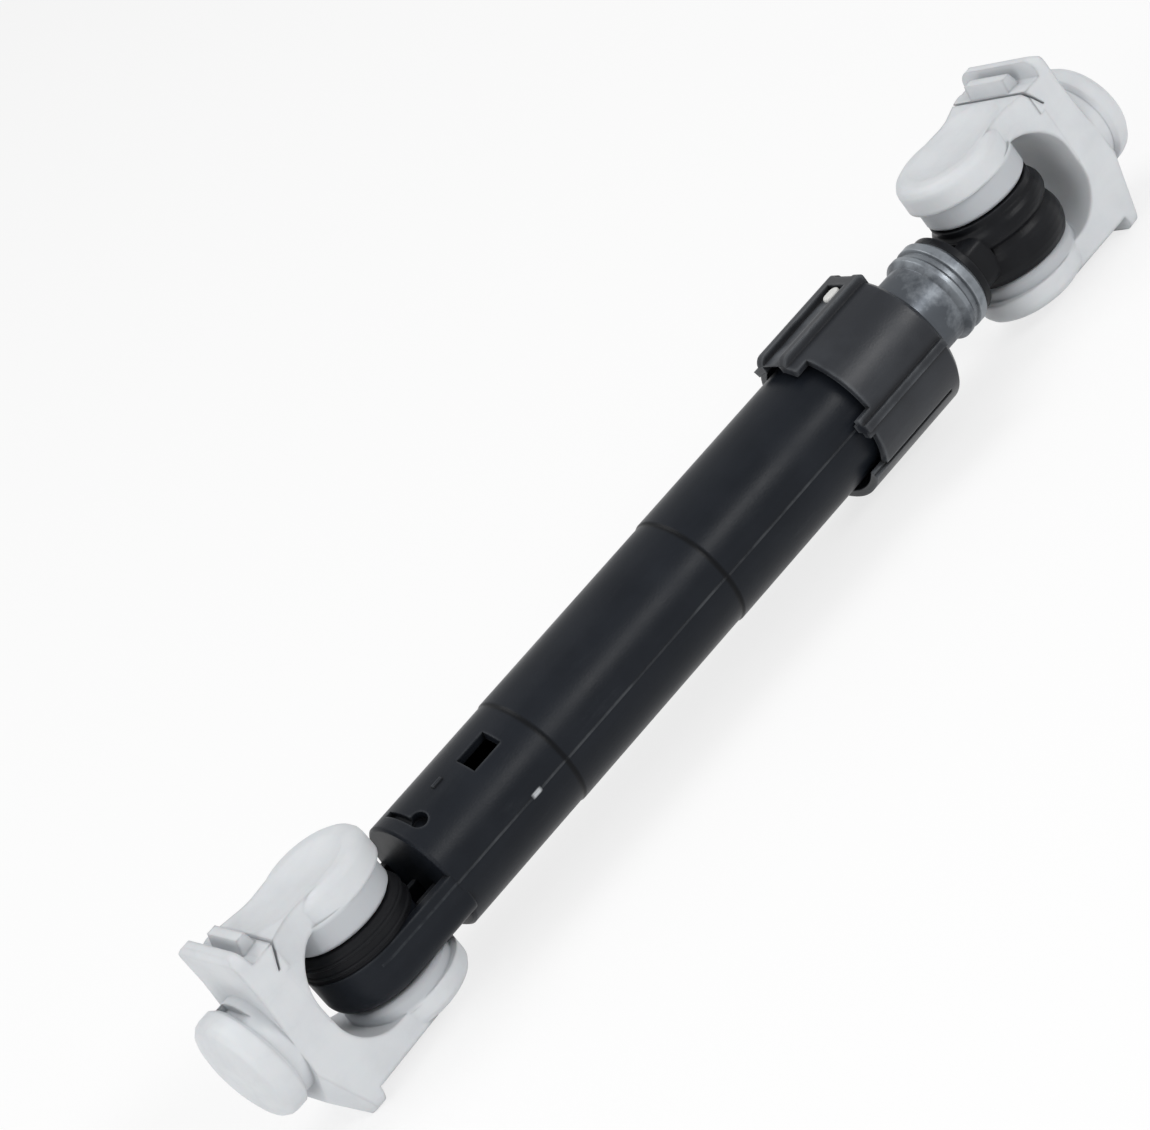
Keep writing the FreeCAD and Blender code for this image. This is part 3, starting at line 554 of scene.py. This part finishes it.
finishes = {
    "housing": charcoalNylon,
    "head_cap": capNylon,
    "guide_bush": guideAcetal,
    "friction_lining": liningFoam,
    "rod_tube": zincSteel,
    "stop_ring": guideAcetal,
    "rod_eye": eyeNylon,
    "rod_bush": bushRubber,
    "housing_bush": bushRubber,
    "rod_clip": clipNylon,
    "housing_clip": clipNylon,
}
for nodeName, finish in finishes.items():
    piece = nodes[nodeName]
    piece.data.materials.clear()
    piece.data.materials.append(finish)
print("finishes assigned")


def addObject(name, data):
    thing = bpy.data.objects.new(name, data)
    bpy.context.scene.collection.objects.link(thing)
    return thing


def addPiece(name, shape, material):
    mesh = bpy.data.meshes.new(name)
    bmesh.ops.recalc_face_normals(shape, faces=shape.faces)
    shape.to_mesh(mesh)
    shape.free()
    mesh.materials.append(material)
    return addObject(name, mesh)


# off-white head of a pin, at the end of the channel in the cap
latchSet = {
    "place": 0.1500,
    "offset": -0.0002,
    "length": 0.0038,
    "width": 0.0025,
    "floor": 0.01542,
    "top": 0.01645,
    "endSteps": 12,
    "round": 0.0004,
    "roundSteps": 3,
    "sharpAngle": 40,  # degrees
}


def makeLatch(look):
    shape = bmesh.new()
    steps = look["endSteps"]
    straight = (look["length"] - look["width"]) / 2
    for level in (look["floor"], look["top"]):
        rim = []
        for end in (-1, 1):
            for step in range(steps + 1):
                angle = math.pi * (step / steps - 0.5) + (math.pi if end < 0 else 0.0)
                across = look["width"] / 2 * math.sin(angle)
                along = end * straight + look["width"] / 2 * math.cos(angle)
                spot = Vector((look["place"] + along, look["offset"] + across, level))
                rim.append(shape.verts.new(housingEye + spot))
        shape.faces.new(rim)
    low, high = shape.faces
    bmesh.ops.bridge_loops(shape, edges=list(low.edges) + list(high.edges))
    latch = addPiece("guideLatch", shape, guideAcetal)
    ease = latch.modifiers.new("ease", "BEVEL")
    ease.width = look["round"]
    ease.segments = look["roundSteps"]
    ease.limit_method = "ANGLE"
    ease.angle_limit = math.radians(look["sharpAngle"])
    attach(latch, "housing")


makeLatch(latchSet)
print("guide latch made")

# moulded beads round the flange of the housing's bush
beadSet = {"radius": 0.01162, "thick": 0.0004, "levels": (0.0031, 0.0052), "around": 72, "section": 10}


def makeBushBeads(look):
    shape = bmesh.new()
    for level in look["levels"]:
        rows = []
        for step in range(look["around"]):
            turn = 2 * math.pi * step / look["around"]
            outward = Vector((math.cos(turn), math.sin(turn), 0.0))
            row = []
            for part in range(look["section"]):
                angle = 2 * math.pi * part / look["section"]
                away = look["radius"] + look["thick"] * math.cos(angle)
                lift = level + look["thick"] * math.sin(angle)
                row.append(shape.verts.new(housingEye + outward * away + Vector((0.0, 0.0, lift))))
            rows.append(row)
        for step, row in enumerate(rows):
            following = rows[(step + 1) % len(rows)]
            for part in range(look["section"]):
                beside = (part + 1) % look["section"]
                face = shape.faces.new((row[part], following[part], following[beside], row[beside]))
                face.smooth = True
    beads = addPiece("housingBushBeads", shape, bushRubber)
    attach(beads, "housing")


makeBushBeads(beadSet)
print("bush beads made")

cameraSet = {
    "fromHousingEye": (-0.178906, -0.607571, 0.297389),  # metres
    "right": (0.623085, -0.526811, -0.578131),
    "up": (0.696528, 0.037463, 0.716551),
    "lens": 125.036,
    "sensor": 36.0,
    "clipStart": 0.01,
}


def makeCamera(look):
    right = Vector(look["right"]).normalized()
    up = Vector(look["up"]).normalized()
    back = right.cross(up).normalized()
    data = bpy.data.cameras.new("photoCamera")
    data.lens = look["lens"]
    data.sensor_fit = "HORIZONTAL"
    data.sensor_width = look["sensor"]
    data.clip_start = look["clipStart"]
    camera = addObject("photoCamera", data)
    turn = Matrix((right, up, back)).transposed().to_4x4()
    camera.matrix_world = Matrix.Translation(housingEye + Vector(look["fromHousingEye"])) @ turn
    bpy.context.scene.camera = camera


makeCamera(cameraSet)


def seenRays(tree):
    # rays that show the white surroundings: from the camera, off gloss and through clear pieces
    path = addNode(tree, "ShaderNodeLightPath").outputs
    seen = mathNode(tree, "ADD", path["Is Camera Ray"], path["Is Glossy Ray"])
    return mathNode(tree, "ADD", seen, path["Is Transmission Ray"])


def mixShaders(tree, factor, first, second, outKind):
    mix = addNode(tree, "ShaderNodeMixShader")
    for index, value in enumerate((factor, first, second)):
        tree.links.new(value, mix.inputs[index])
    out = addNode(tree, outKind)
    tree.links.new(mix.outputs["Shader"], out.inputs["Surface"])


floorSet = {"size": 12.0, "drop": 0.0002, "white": 0.95, "glow": 0.74}


def makeFloor(look):
    mesh = bpy.data.meshes.new("studioFloor")
    half = look["size"] / 2
    level = -look["drop"]
    corners = [(-half, -half, level), (half, -half, level), (half, half, level), (-half, half, level)]
    mesh.from_pydata(corners, [], [(0, 1, 2, 3)])
    floor = addObject("studioFloor", mesh)
    material, tree = newTree("floorWhite")
    base = addNode(tree, "ShaderNodeBsdfDiffuse")
    base.inputs["Color"].default_value = (look["white"], look["white"], look["white"], 1.0)
    glow = addNode(tree, "ShaderNodeEmission")
    share = product(tree, seenRays(tree), look["glow"])
    mixShaders(tree, share, base.outputs["BSDF"], glow.outputs["Emission"], "ShaderNodeOutputMaterial")
    mesh.materials.append(material)


makeFloor(floorSet)

lampAim = Vector((0.0, 0.0, 0.02))
lampSet = {
    "key": {"at": (0.45, -1.0, 0.66), "wide": 0.7, "high": 0.24, "power": 5.6},
    "left": {"at": (-0.95, -0.35, 0.45), "wide": 0.6, "high": 0.6, "power": 3.4},
    "top": {"at": (-0.25, 0.35, 1.25), "wide": 0.8, "high": 0.8, "power": 6.0},
}


def makeLamps(lamps):
    for name, look in lamps.items():
        data = bpy.data.lights.new(name + "Lamp", "AREA")
        data.shape = "RECTANGLE"
        data.size = look["wide"]
        data.size_y = look["high"]
        data.energy = look["power"]
        lamp = addObject(name + "Lamp", data)
        lamp.location = look["at"]
        aim = lampAim - Vector(look["at"])
        lamp.rotation_euler = aim.to_track_quat("-Z", "Y").to_euler()


makeLamps(lampSet)

worldSet = {"ambient": 0.51}


def makeWorld(look):
    world = bpy.data.worlds.new("studioWorld")
    bpy.context.scene.world = world
    world.use_nodes = True
    tree = world.node_tree
    tree.nodes.clear()
    dim = addNode(tree, "ShaderNodeBackground")
    dim.inputs["Strength"].default_value = look["ambient"]
    white = addNode(tree, "ShaderNodeBackground")
    seen = seenRays(tree)
    mixShaders(tree, seen, dim.outputs["Background"], white.outputs["Background"], "ShaderNodeOutputWorld")


makeWorld(worldSet)
bpy.context.scene.view_settings.view_transform = "Standard"
print("camera, floor and lamps set")
